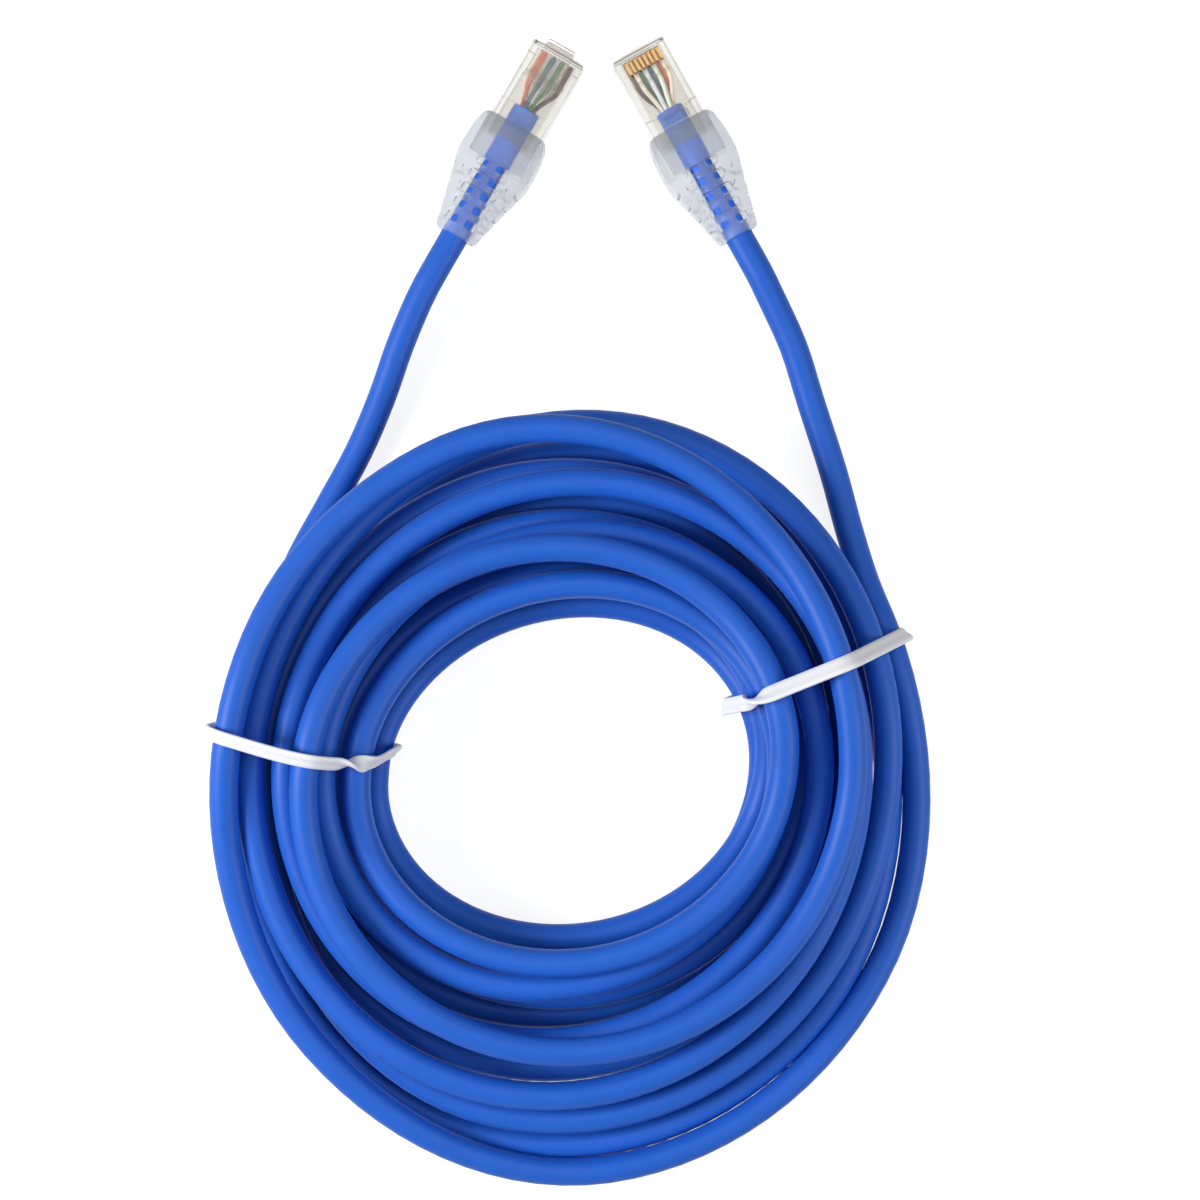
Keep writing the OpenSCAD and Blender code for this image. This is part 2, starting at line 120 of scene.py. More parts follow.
def seenDirectly(tree):
    # 1 for rays from the camera, off gloss and through clear plastic
    path = addNode(tree, "ShaderNodeLightPath")
    seen = path.outputs["Is Camera Ray"]
    for kind in ("Is Glossy Ray", "Is Transmission Ray"):
        either = addNode(tree, "ShaderNodeMath", {0: seen, 1: path.outputs[kind]}, operation="MAXIMUM")
        seen = either.outputs[0]
    return seen


def makeFloor():
    deselectAll()
    bpy.ops.mesh.primitive_plane_add(size=floorValues["size"], location=(0, 0, -floorValues["below"] * mm))
    floor = bpy.context.object
    floor.name = "floor"
    material, tree = emptyMaterial("white paper sweep")
    paper = addNode(tree, "ShaderNodeBsdfDiffuse", {"Color": hexColour(floorValues["colour"])})
    glow = addNode(tree, "ShaderNodeMath", {0: seenDirectly(tree), 1: floorValues["glow"]},
                   operation="MULTIPLY")
    white = addNode(tree, "ShaderNodeEmission", {"Strength": glow.outputs[0]})
    both = addNode(tree, "ShaderNodeAddShader", {0: paper.outputs[0], 1: white.outputs[0]})
    addNode(tree, "ShaderNodeOutputMaterial", {"Surface": both.outputs[0]})
    paint(floor, material)


lampValues = {
    # place in mm, width in mm, watts
    "key": ((-720, -60, 560), 360, 8.4),
    "top": ((160, 200, 900), 500, 1.1),
    "side": ((560, -180, 420), 420, 2.2),
    "aim": (0, -20, 0),    # mm
    "room": 0.17,          # the world's light on matt surfaces
}


def setLamps():
    for name in ("key", "top", "side"):
        place, width, watts = lampValues[name]
        data = bpy.data.lights.new(name, "AREA")
        data.size = width * mm
        data.energy = watts
        lamp = bpy.data.objects.new(name, data)
        lamp.location = Vector(place) * mm
        aim = Vector(lampValues["aim"]) * mm - lamp.location
        lamp.rotation_euler = aim.to_track_quat("-Z", "Y").to_euler()
        bpy.context.scene.collection.objects.link(lamp)
    world = bpy.data.worlds.new("room")
    world.use_nodes = True
    tree = world.node_tree
    tree.nodes.clear()
    level = addNode(tree, "ShaderNodeMapRange", {"Value": seenDirectly(tree), "To Min": lampValues["room"],
                                                 "To Max": 1.0})
    sky = addNode(tree, "ShaderNodeBackground", {"Color": (1, 1, 1, 1), "Strength": level.outputs[0]})
    addNode(tree, "ShaderNodeOutputWorld", {"Surface": sky.outputs[0]})
    bpy.context.scene.world = world
    bpy.context.scene.view_settings.view_transform = "Standard"


setCamera()
makeFloor()
setLamps()
print("camera, floor and lamps set")


# ------ where the plugs lie
# In a plug's own frame x runs across it, y from its nose back along the cable, and z up
# through its contacts, in mm.

plugValues = {
    "a": {"nose": (-2.4, 113.8, 7.0), "turn": 150, "flip": 180},
    "b": {"nose": (13.3, 114.2, 7.0), "turn": 209, "flip": 0},
    "jacketExit": 46.2,      # how far behind the nose the free cable starts
}


def plugMatrix(end):
    values = plugValues[end]
    return (Matrix.Scale(mm, 4) @ Matrix.Translation(values["nose"])
            @ Matrix.Rotation(math.radians(values["turn"]), 4, "Z")
            @ Matrix.Rotation(math.radians(values["flip"]), 4, "Y"))


# ------ the cable

cordValues = {
    # mm, where nothing else is said
    "diameter": 5.8,
    "outerCentre": (-1.2, -34.4), "outerRadii": (68.4, 74.6), "outerLean": 1.3,
    "innerCentre": (-2.5, -33.1), "innerRadii": (37.7, 31.1), "innerLean": 3.5,
    "acrossSteps": 4.12,     # turn widths between the two ellipses
    "layerStep": 6.45,
    "start": 152,            # degrees
    "startAcross": 0.12,
    "climbShare": 0.8,       # of a stretch in which a layer is climbed
    "tieAngles": (172, 20),  # where the ties lift the turns, in degrees
    "tieLift": 4.0,
    "liftSpread": 22,        # degrees
    "pointsPerTurn": 96,
    "leadStep": 3.0,
    "roundness": 8,
}
# Each stretch of the winding: its turns, the turn width and the layer that it ends on,
# and whether it eases from one width to the next instead of spiralling at a steady rate
windings = [
    (0.12, 0.08, 0, True),      # in along the floor
    (0.18, -0.18, 0, True),
    (0.16, -0.14, 0, True),
    (0.18, 0.42, 0, True),
    (0.20, 0.81, 0, True),
    (0.24, 1.04, 0, False),
    (3.00, 4.10, 0, False),
    (0.50, 3.49, 1, False),     # up a layer at the inside
    (2.50, 0.96, 1, False),     # out
    (0.22, 0.39, 1, True),      # beside the first turn
    (0.20, 0.42, 1, True),
    (0.23, 0.16, 1, True),
    (0.35, 0.68, 2, True),      # up a layer at the outside
    (3.00, 3.71, 2, False),     # in
    (0.50, 3.19, 3, False),     # up to the top layer
    (1.00, 1.39, 3, False),     # out
    (0.32, 0.28, 3, True),      # across the pile to its outer edge
    (0.12, 0.12, 3.0, True),
    (0.18, -0.30, 1.5, True),   # down past the left tie
    (0.15, -0.66, 0.4, True),
    (0.15, -0.745, 0, True),    # round the outside on the floor
    (0.14, -0.28, 0, True),     # in to the lead to plug b
]
# Where the two leads lie between the boots and the coil
legA = [(-31.3, 63.4, 6.4), (-35.4, 53.9, 5.2), (-39.3, 43.1, 3.8),
        (-44, 32.3, 3.0), (-50, 21.3, 2.9), (-56, 10.3, 3.2)]
legB = [(40.8, 64.1, 6.4), (45.6, 53.8, 5.2), (49.3, 42.4, 3.8),
        (53.9, 28.3, 3.0), (57.2, 16.2, 3.0), (60.5, 5.3, 4.5)]


def windingSlot(t):
    # The turn width and the layer at t turns from the start
    rounding = 1e-9
    turned, across, layer = 0.0, cordValues["startAcross"], 0.0
    for turns, nextAcross, nextLayer, eased in windings:
        if t <= turned + turns + rounding:
            part = (t - turned) / turns
            moved = smooth(part) if eased else part
            climbed = smooth(part) if eased else smooth(part / cordValues["climbShare"])
            return across + (nextAcross - across) * moved, layer + (nextLayer - layer) * climbed
        turned, across, layer = turned + turns, nextAcross, nextLayer
    return across, layer


def ellipsePoint(angle, across):
    # In plan, this many turn widths in from the outer ellipse towards the inner one
    inward = across / cordValues["acrossSteps"]
    place = []
    for side, share in (("outer", 1 - inward), ("inner", inward)):
        (centreX, centreY), (radiusX, radiusY) = cordValues[side + "Centre"], cordValues[side + "Radii"]
        x = centreX + radiusX * math.cos(angle) + cordValues[side + "Lean"] * math.sin(angle)
        place.append((x * share, (centreY + radiusY * math.sin(angle)) * share))
    return [o + i for o, i in zip(*place)]


def tieLift(degrees):
    # The turns lie higher where a tie gathers them
    lift = 0
    for tie in cordValues["tieAngles"]:
        off = (degrees - tie + 180) % 360 - 180
        lift += cordValues["tieLift"] * math.exp(-(off / cordValues["liftSpread"]) ** 2)
    return lift


def coilPoint(t):
    degrees = cordValues["start"] + 360 * t
    across, layer = windingSlot(t)
    x, y = ellipsePoint(math.radians(degrees), across)
    z = cordValues["diameter"] / 2 + cordValues["layerStep"] * layer + tieLift(degrees)
    return Vector((x, y, z))


def throughPoints(points, step):
    # A smooth line through given points, with a point about every step mm
    line = []
    ends = [2 * points[0] - points[1]] + points + [2 * points[-1] - points[-2]]
    for i in range(len(points) - 1):
        p0, p1, p2, p3 = ends[i:i + 4]
        n = max(1, round((p2 - p1).length / step))
        for k in range(n):
            s = k / n
            line.append(0.5 * (2 * p1 + (p2 - p0) * s + (2 * p0 - 5 * p1 + 4 * p2 - p3) * s * s
                               + (3 * p1 - p0 - 3 * p2 + p3) * s ** 3))
    return line + [points[-1]]


def cordRoute():
    # From the back of boot a along its lead, round the coil and along the other lead to boot b
    turns = sum(w[0] for w in windings)
    count = round(turns * cordValues["pointsPerTurn"])
    coil = [coilPoint(turns * i / count) for i in range(count + 1)]
    exits = []
    for end in "ab":
        place = plugMatrix(end)
        exits.append([place @ Vector((0, plugValues["jacketExit"] + extra, 0)) / mm
                      for extra in (0, cordValues["diameter"])])
    step = cordValues["leadStep"]
    leadA = throughPoints(exits[0] + [Vector(p) for p in legA] + [coil[0], coil[2]], step)
    leadB = throughPoints([coil[-3], coil[-1]] + [Vector(p) for p in reversed(legB)] + exits[1][::-1], step)
    # The smooth lines run a little way along the coil so that they meet it without a kink
    nearStart = min(range(len(leadA)), key=lambda i: (leadA[i] - coil[0]).length)
    nearEnd = min(range(len(leadB)), key=lambda i: (leadB[i] - coil[-1]).length)
    return leadA[:nearStart] + coil + leadB[nearEnd + 1:]


def makeCord(route):
    curve = bpy.data.curves.new("cable", "CURVE")
    curve.dimensions = "3D"
    curve.bevel_depth = cordValues["diameter"] / 2 * mm
    curve.bevel_resolution = cordValues["roundness"]
    curve.use_fill_caps = True
    line = curve.splines.new("POLY")
    line.points.add(len(route) - 1)
    for point, place in zip(line.points, route):
        point.co = (*(place * mm), 1)
    cord = bpy.data.objects.new("cable", curve)
    bpy.context.scene.collection.objects.link(cord)
    return cord


# ------ materials

def principled(name, sockets, clearTo=None):
    material, tree = emptyMaterial(name)
    shader = addNode(tree, "ShaderNodeBsdfPrincipled", sockets)
    surface = shader.outputs[0]
    if clearTo:
        # Lamps shine on what is inside clear plastic
        path = addNode(tree, "ShaderNodeLightPath")
        film = addNode(tree, "ShaderNodeBsdfTransparent", {"Color": hexColour(clearTo)})
        mix = addNode(tree, "ShaderNodeMixShader", {0: path.outputs["Is Shadow Ray"], 1: surface,
                                                    2: film.outputs[0]})
        surface = mix.outputs[0]
    addNode(tree, "ShaderNodeOutputMaterial", {"Surface": surface})
    return material, tree, shader


def mottle(tree, shader, grain, depth, strength):
    # Fine unevenness of the surface; grain and depth in mm
    place = addNode(tree, "ShaderNodeTexCoord")
    noise = addNode(tree, "ShaderNodeTexNoise", {"Vector": place.outputs["Object"], "Scale": 1 / (grain * mm),
                                                 "Detail": 2.0})
    bump = addNode(tree, "ShaderNodeBump", {"Height": noise.outputs["Fac"], "Strength": strength,
                                            "Distance": depth * mm})
    tree.links.new(bump.outputs["Normal"], shader.inputs["Normal"])


def twoTones(tree, shader, patch, first, second):
    # The colour drifts between two near tones over patches of this size in mm
    place = addNode(tree, "ShaderNodeTexCoord")
    cloud = addNode(tree, "ShaderNodeTexNoise", {"Vector": place.outputs["Object"], "Scale": 1 / (patch * mm),
                                                 "Detail": 3.0})
    tone = addNode(tree, "ShaderNodeMix", {"Factor": cloud.outputs["Fac"], "A": hexColour(first),
                                           "B": hexColour(second)}, data_type="RGBA")
    tree.links.new(tone.outputs["Result"], shader.inputs["Base Color"])


def jacketPvc():
    # Flexible PVC, extruded: an even blue with a soft sheen, faintly clouded and very finely pitted
    material, tree, shader = principled("extruded PVC jacket", {
        "Roughness": 0.46, "IOR": 1.53, "Specular IOR Level": 0.24})
    twoTones(tree, shader, 9, "#1d59bd", "#2361ca")
    mottle(tree, shader, 0.5, 0.03, 0.12)
    return material


def tiePvc():
    # Soft PVC tape, extruded over a wire: white, waxy and a little uneven where it was bent
    material, tree, shader = principled("white PVC tape", {
        "Roughness": 0.4, "IOR": 1.53, "Subsurface Weight": 0.2, "Subsurface Scale": 0.5 * mm})
    twoTones(tree, shader, 3, "#eaecf1", "#f2f3f7")
    mottle(tree, shader, 0.8, 0.05, 0.25)
    return material


def clearPc(name, colour, bend, clearness):
    # Polycarbonate, moulded in a polished tool: clear with a faint warm grey and slight flow waves.
    # The bend, its IOR, starts from 1.58 and is lower where a piece hardly shifts what is seen through it
    material, tree, shader = principled(name, {
        "Base Color": hexColour(colour), "Roughness": 0.04, "IOR": bend, "Transmission Weight": clearness},
        clearTo=colour)
    mottle(tree, shader, 1.5, 0.02, 0.1)
    return material


def bootPvc():
    # Soft clear PVC, moulded: milky, with a faintly waved satin skin. The cable shows through it unshifted,
    # so the IOR is well below the 1.53 of bulk PVC
    material, tree, shader = principled("soft clear PVC", {
        "Base Color": hexColour("#d3d6da"), "Roughness": 0.26, "IOR": 1.18, "Transmission Weight": 0.91},
        clearTo="#d8dadd")
    mottle(tree, shader, 1.2, 0.02, 0.08)
    return material


def goldPlate():
    # Gold over nickel on a stamped blade: bright, with a fine grain
    material, tree, shader = principled("gold plate", {
        "Base Color": hexColour("#bf935a"), "Metallic": 1.0, "Roughness": 0.34})
    mottle(tree, shader, 0.12, 0.01, 0.3)
    return material


def bareCopper():
    # Drawn copper: warm and slightly dulled
    material, tree, shader = principled("bare copper", {"Metallic": 1.0, "Roughness": 0.32})
    twoTones(tree, shader, 0.6, "#b9683f", "#cd7f54")
    return material


def steelWire():
    # Drawn soft steel: dull grey, a little uneven
    material, tree, shader = principled("soft steel wire", {"Metallic": 1.0, "Roughness": 0.4})
    twoTones(tree, shader, 0.8, "#808386", "#999b9e")
    return material


wireColours = {
    "white_orange": "#f2dccb", "orange": "#e2561f", "white_green": "#dbe9db", "blue": "#14507e",
    "white_blue": "#d6e0ee", "green": "#12752d", "white_brown": "#ebe0d8", "brown": "#4a1f12",
}


def wireInsulation(colour):
    # Polyethylene, extruded thin: glossy, the pigment slightly uneven
    material, tree, shader = principled("polyethylene " + colour, {"Roughness": 0.3, "IOR": 1.51})
    base = wireColours[colour]
    darker = "#" + "".join("%02x" % round(int(base[i:i + 2], 16) * 0.9) for i in (1, 3, 5))
    twoTones(tree, shader, 0.7, base, darker)
    return material


blue = jacketPvc()
white = tiePvc()
clear = clearPc("clear polycarbonate", "#dfddd8", 1.4, 0.98)
thinClear = clearPc("thin clear polycarbonate", "#efeeea", 1.22, 0.97)
insideClear = clearPc("clear polycarbonate inside the plug", "#f2f1ed", 1.1, 0.98)
milky = bootPvc()
gold = goldPlate()
copper = bareCopper()
steel = steelWire()
insulation = {colour: wireInsulation(colour) for colour in wireColours}
print("materials made")

route = cordRoute()
cord = makeCord(route)
paint(cord, blue)
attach(cord, "cable")
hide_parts("cable_coil", "cable_leg_a", "cable_leg_b")


# ------ small tools for modelling; a plug's pieces are modelled in mm in its own frame

def applyModifier(piece, kind, **settings):
    activate(piece)
    modifier = piece.modifiers.new(kind.lower(), kind)
    for key, value in settings.items():
        setattr(modifier, key, value)
    bpy.ops.object.modifier_apply(modifier=modifier.name)


def finishPiece(piece, name, place, body, nodes, material, sharp=35):
    # Its place goes into its mesh, and it takes over from its CAD nodes
    activate(piece)
    bpy.ops.object.transform_apply(location=True, rotation=True, scale=True)
    piece.data.transform(place)
    piece.data.update()
    bpy.ops.object.shade_smooth_by_angle(angle=math.radians(sharp))
    # Flat faces stay flat to the light beside their rounded edges
    applyModifier(piece, "WEIGHTED_NORMAL", keep_sharp=True, weight=50)
    piece.name = name
    paint(piece, material)
    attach(piece, body)
    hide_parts(*nodes)
    return piece


def roundEdges(piece, width, segments=2, sharp=35):
    applyModifier(piece, "BEVEL", width=width, segments=segments, limit_method="ANGLE",
                  angle_limit=math.radians(sharp), use_clamp_overlap=False)


def joined(pieces):
    activate(pieces[0])
    for piece in pieces:
        piece.select_set(True)
    bpy.ops.object.join()
    return pieces[0]


def combine(piece, tools, operation):
    # One tool after another, so that tools which overlap leave no faces inside
    for tool in tools:
        applyModifier(piece, "BOOLEAN", object=tool, operation=operation, solver="MANIFOLD")
        bpy.data.objects.remove(tool)


def box(low, high):
    # Between two opposite corners
    deselectAll()
    bpy.ops.mesh.primitive_cube_add(size=1, location=[(a + b) / 2 for a, b in zip(low, high)])
    block = bpy.context.object
    block.scale = [b - a for a, b in zip(low, high)]
    bpy.ops.object.transform_apply(location=True, rotation=True, scale=True)
    return block


def rod(front, rear, radius, sides):
    # A round bar along the plug's own line
    deselectAll()
    bpy.ops.mesh.primitive_cylinder_add(vertices=sides, radius=radius, depth=rear - front,
                                        location=(0, (front + rear) / 2, 0), rotation=(math.pi / 2, 0, 0))
    bpy.ops.object.transform_apply(location=True, rotation=True, scale=True)
    return bpy.context.object


def plate(corners, along):
    # A flat outline with these corners, extruded by the vector along
    deselectAll()
    bpy.ops.mesh.primitive_circle_add(vertices=len(corners), radius=1, fill_type="NGON")
    piece = bpy.context.object
    for vertex, corner in zip(piece.data.vertices, corners):
        vertex.co = corner
    bpy.ops.object.mode_set(mode="EDIT")
    bpy.ops.mesh.select_all(action="SELECT")
    bpy.ops.mesh.extrude_region_move(TRANSFORM_OT_translate={"value": along})
    bpy.ops.mesh.select_all(action="SELECT")
    bpy.ops.mesh.normals_make_consistent(inside=False)
    bpy.ops.object.mode_set(mode="OBJECT")
    return piece


def sidePlate(profile, width):
    # A plate of this side view, centred on the plug's middle plane
    return plate([(-width / 2, y, z) for y, z in profile], (width, 0, 0))


def frontCorners(width, middle, corner):
    # A strip's two rounded front corners seen from above, their arcs centred at middle along it
    arcSteps = 8
    points = []
    for side, first in ((1, 0), (-1, 90)):
        for i in range(arcSteps + 1):
            angle = math.radians(-(first + i * 90 / arcSteps))
            points.append((side * (width / 2 - corner) + corner * math.cos(angle),
                           middle + corner * math.sin(angle)))
    return points


def roundedStrip(width, front, rear, corner, low, high):
    # A strip from front to rear whose two front corners are rounded, between two heights
    outline = [(-width / 2, rear), (width / 2, rear)] + frontCorners(width, front + corner, corner)
    return plate([(x, y, low) for x, y in outline], (0, 0, high - low))


def sectionPoint(section, k, sides):
    # Point k of a rounded square section: (y, half width, half height, corner radius)
    y, halfWidth, halfHeight, corner = section
    angle = 2 * math.pi * (k + 0.5) / sides
    c, s = math.cos(angle), math.sin(angle)
    return (math.copysign(halfWidth - corner, c) + corner * c, y,
            math.copysign(halfHeight - corner, s) + corner * s)


def loft(sections, sides):
    # A closed skin through the sections
    deselectAll()
    bpy.ops.mesh.primitive_circle_add(vertices=sides, radius=1, fill_type="NGON")
    piece = bpy.context.object
    for k, vertex in enumerate(piece.data.vertices):
        vertex.co = sectionPoint(sections[0], k, sides)
    for i, section in enumerate(sections[1:], 1):
        bpy.ops.object.mode_set(mode="EDIT")
        bpy.ops.mesh.select_mode(type="VERT" if i == 1 else "FACE")
        if i == 1:
            bpy.ops.mesh.select_all(action="SELECT")
        forward = section[0] - sections[i - 1][0]
        bpy.ops.mesh.extrude_region_move(TRANSFORM_OT_translate={"value": (0, forward, 0)})
        bpy.ops.object.mode_set(mode="OBJECT")
        ends = [v for v in piece.data.vertices if v.select]
        ends.sort(key=lambda v: v.index)
        for k, vertex in enumerate(ends):
            vertex.co = sectionPoint(section, k, sides)
    bpy.ops.object.mode_set(mode="EDIT")
    bpy.ops.mesh.select_all(action="SELECT")
    bpy.ops.mesh.normals_make_consistent(inside=False)
    bpy.ops.object.mode_set(mode="OBJECT")
    return piece


def between(table, y):
    # In a straight line between the rows of a table whose first column is the place
    for low, high in zip(table, table[1:]):
        if y <= high[0]:
            part = (y - low[0]) / (high[0] - low[0])
            return [a + (b - a) * part for a, b in zip(low, high)]
    return list(table[-1])


# ------ the plugs

housingValues = {
    "width": 11.68, "length": 21.4, "noseHeight": 6.6, "top": 4.0, "noseCorner": 0.8, "edge": 0.16,
    "step": 13.8,                           # where it gets higher, for the jacket
    "lip": 0.5, "faceDrop": 0.35, "faceRear": 2.4,      # the nose's slope and the low face behind it
    # the blades' slots, and how far the ribs between them are below the top
    "pitch": 1.02, "slot": 0.7, "slotFront": 1.0, "slotRear": 4.7, "slotLow": 2.2,
    "ribWidth": 8.8, "ribFront": 0.9, "ribRear": 4.8, "ribDrop": 0.42,
    # the hollow: at the wires' ends, over the guide, and round the jacket
    "cavityWidth": 9.0, "chamberFront": 1.2, "chamberLow": 0.4, "guideRear": 7.2, "guideTop": 2.7,
    "wall": 0.55, "jacketRoom": 6.1,
    # the strain relief bar in its recess
    "barFront": 15.2, "barRear": 17.2, "barWidth": 6.2, "barLow": 2.35, "barTop": 3.25, "barEdge": 0.25,
    "recess": 3.35, "recessGap": 0.3,
    # the ledge that the latch hangs from
    "ledgeWidth": 6.3, "ledgeRear": 0.9, "ledgeCorner": 0.65, "ledgeLow": -2.3, "ledgeTop": -1.2,
    "clear": 1.0,                           # how far a cutting tool reaches past what it cuts
}
noseLow = housingValues["top"] - housingValues["noseHeight"]
wireCount = 8
wireRows = (1.75, 1.05)     # heights of the two staggered rows


def wireX(i):
    return (i - (wireCount - 1) / 2) * housingValues["pitch"]


def housingHollow():
    # One room for the wires' ends, the guide, the fanned wires and the jacket
    v = housingValues
    room, floor, rear = v["jacketRoom"] / 2, noseLow + v["wall"], v["length"] + v["clear"]
    profile = [(v["chamberFront"], v["chamberLow"]), (v["guideRear"], v["chamberLow"]),
               (v["guideRear"], floor), (v["step"], floor), (v["step"], -room), (rear, -room), (rear, room),
               (v["step"], room), (v["step"], v["guideTop"]), (v["chamberFront"], v["guideTop"])]
    return sidePlate(profile, v["cavityWidth"])


def makeHousing():
    v = housingValues
    top, lip, drop, above = v["top"], v["lip"], v["faceDrop"], v["top"] + v["clear"]
    profile = [(0, noseLow + lip), (lip, noseLow), (v["step"], noseLow), (v["step"], -top),
               (v["length"], -top), (v["length"], top), (v["faceRear"], top), (v["faceRear"], top - drop),
               (lip, top - drop), (0, top - drop - lip)]
    housing = sidePlate(profile, v["width"])
    nose = roundedStrip(v["width"], 0, v["length"], v["noseCorner"], -above, above)
    combine(housing, [nose], "INTERSECT")
    ledge = roundedStrip(v["ledgeWidth"], latchValues["hinge"][0], v["ledgeRear"], v["ledgeCorner"],
                         v["ledgeLow"], v["ledgeTop"])
    combine(housing, [ledge], "UNION")
    roundEdges(housing, v["edge"])
    halfRibs, halfBar, gap = v["ribWidth"] / 2, v["barWidth"] / 2, v["recessGap"]
    cutters = [housingHollow(),
               box((-halfRibs, v["ribFront"], top - v["ribDrop"]), (halfRibs, v["ribRear"], above)),
               box((-halfBar - gap, v["barFront"] - gap, v["recess"]),
                   (halfBar + gap, v["barRear"] + gap, above))]
    for i in range(wireCount):
        cutters.append(box((wireX(i) - v["slot"] / 2, v["slotFront"], v["slotLow"]),
                           (wireX(i) + v["slot"] / 2, v["slotRear"], above)))
    combine(housing, cutters, "DIFFERENCE")
    # The strain relief bar, pressed down onto the jacket
    bar = box((-halfBar, v["barFront"], v["barLow"]), (halfBar, v["barRear"], v["barTop"]))
    roundEdges(bar, v["barEdge"], 3)
    combine(housing, [bar], "UNION")
    return housing


latchValues = {
    "hinge": (-0.6, -3.05), "knuckle": 0.65,            # the knuckle is the round front that it flexes on
    "travel": 11,                                       # degrees
    "standOff": 0.2, "thickness": 1.0, "edge": 0.14,    # how far below the nose it lies when pressed
    "tip": 12.9, "tipLip": 0.4, "leverWidth": 3.25,
    "catch": 8.1, "catchWidth": 6.3, "catchFront": 4.6, "catchDepth": 0.75, "shoulderWidth": 4.3,
    "steps": 16, "cutDepth": 8,
}


def makeLatch():
    v = latchValues
    hingeY, hingeZ = v["hinge"]
    knuckle, tip, lip, catch = v["knuckle"], v["tip"], v["tipLip"], v["catch"]
    top = noseLow - v["standOff"]
    low = top - v["thickness"]
    # From the side: the tip, round the knuckle from its top to its bottom, and the catch
    profile = [(tip, low + lip), (tip, top - lip), (tip - lip, top)]
    first, last = math.degrees(math.asin((top - hingeZ) / knuckle)), 270
    for i in range(v["steps"] + 1):
        angle = math.radians(first + (last - first) * i / v["steps"])
        profile.append((hingeY + knuckle * math.cos(angle), hingeZ + knuckle * math.sin(angle)))
    profile += [(v["catchFront"], low), (catch, low - v["catchDepth"]), (catch, low), (tip - lip, low)]
    latch = sidePlate(profile, v["catchWidth"])
    # From above: the lever is narrow behind the wide catch
    lever, shoulder, wide = v["leverWidth"] / 2, v["shoulderWidth"] / 2, v["catchWidth"] / 2
    past = tip + 1
    outline = ([(-lever, past), (lever, past), (lever, tip), (shoulder, catch), (wide, catch)]
               + frontCorners(v["catchWidth"], hingeY, knuckle)
               + [(-wide, catch), (-shoulder, catch), (-lever, tip)])
    shape = plate([(x, y, -v["cutDepth"]) for x, y in outline], (0, 0, v["cutDepth"]))
    combine(latch, [shape], "INTERSECT")
    roundEdges(latch, v["edge"], 2, 50)
    # It stands off from the plug by its whole travel
    about = Matrix.Translation((0, hingeY, hingeZ))
    latch.data.transform(about @ Matrix.Rotation(math.radians(-v["travel"]), 4, "X") @ about.inverted())
    return latch


bladeValues = {
    "front": 1.4, "rear": 4.4, "top": 3.7, "base": 2.5, "thickness": 0.6, "edge": 0.05,
    "corner": 0.45, "cornerSteps": 5,
    "teeth": (3.6, 2.2), "halfTooth": 0.35,
    "bite": 0.1,                            # how far the teeth go below a wire's middle
}


def makeContacts():
    # Stamped blades with rounded top corners and two teeth that bite through the wire
    v = bladeValues
    corner, tooth, turn = v["corner"], v["halfTooth"], 90 / v["cornerSteps"]
    blades = []
    for i in range(wireCount):
        profile = [(v["front"], v["base"])]
        for y, first in ((v["front"] + corner, 180), (v["rear"] - corner, 90)):
            for k in range(v["cornerSteps"] + 1):
                angle = math.radians(first - k * turn)
                profile.append((y + corner * math.cos(angle), v["top"] - corner + corner * math.sin(angle)))
        profile.append((v["rear"], v["base"]))
        for y in v["teeth"]:
            profile += [(y + tooth, v["base"]), (y, wireRows[i % 2] - v["bite"]), (y - tooth, v["base"])]
        blade = sidePlate(profile, v["thickness"])
        roundEdges(blade, v["edge"])
        blade.data.transform(Matrix.Translation((wireX(i), 0, 0)))
        blades.append(blade)
    return joined(blades)


wireValues = {
    "diameter": 0.95, "core": 0.5,
    "coreFront": 1.25,                      # the copper stands out of the insulation at its cut end
    "bunch": 1.45,                          # the radius they are bunched on in the jacket
    "jacketFront": 13.8,
    # where the points of their paths are, behind the nose
    "stations": (1.4, 6, 7.2, 8.6, 10, 11.4, 12.6, 13.8, 16.8),
}


def wirePath(i, front=None):
    # Straight through the guide, then gathered into a round bunch, the lower row in half the way
    v = wireValues
    side = 1 if i % 2 == 0 else -1
    angle = math.radians(side * 360 / wireCount * ((wireCount - 1) / 2 - i // 2))
    bunchX, bunchZ = v["bunch"] * math.cos(angle), v["bunch"] * math.sin(angle)
    x, z, guideRear = wireX(i), wireRows[i % 2], housingValues["guideRear"]
    path = []
    for y in v["stations"]:
        part = (y - guideRear) / (v["jacketFront"] - guideRear)
        gathered, dropped = smooth(part), smooth(part if side == 1 else 2 * part)
        path.append(Vector((x + (bunchX - x) * gathered, y, z + (bunchZ - z) * dropped)))
    if front is not None:
        path[0].y = front
    return path


def roundWire(path, radius, name):
    # A smooth round wire through the points
    curve = bpy.data.curves.new(name, "CURVE")
    curve.dimensions = "3D"
    curve.bevel_depth = radius
    curve.bevel_resolution = 4
    curve.resolution_u = 6
    curve.use_fill_caps = True
    line = curve.splines.new("BEZIER")
    line.bezier_points.add(len(path) - 1)
    for point, place in zip(line.bezier_points, path):
        point.co = place
        point.handle_left_type = point.handle_right_type = "AUTO"
    wire = bpy.data.objects.new(name, curve)
    bpy.context.scene.collection.objects.link(wire)
    activate(wire)
    bpy.ops.object.convert(target="MESH")
    return bpy.context.object


jacketEndValues = {
    "rings": 90, "sides": 64,
    # how far below the bar its top is pressed, and the length over which it comes back on either side
    "pressGap": 0.05, "pressReach": 1.2,
    "hollowRadius": 2.1, "hollowDepth": 3.2, "hollowSides": 48,
}


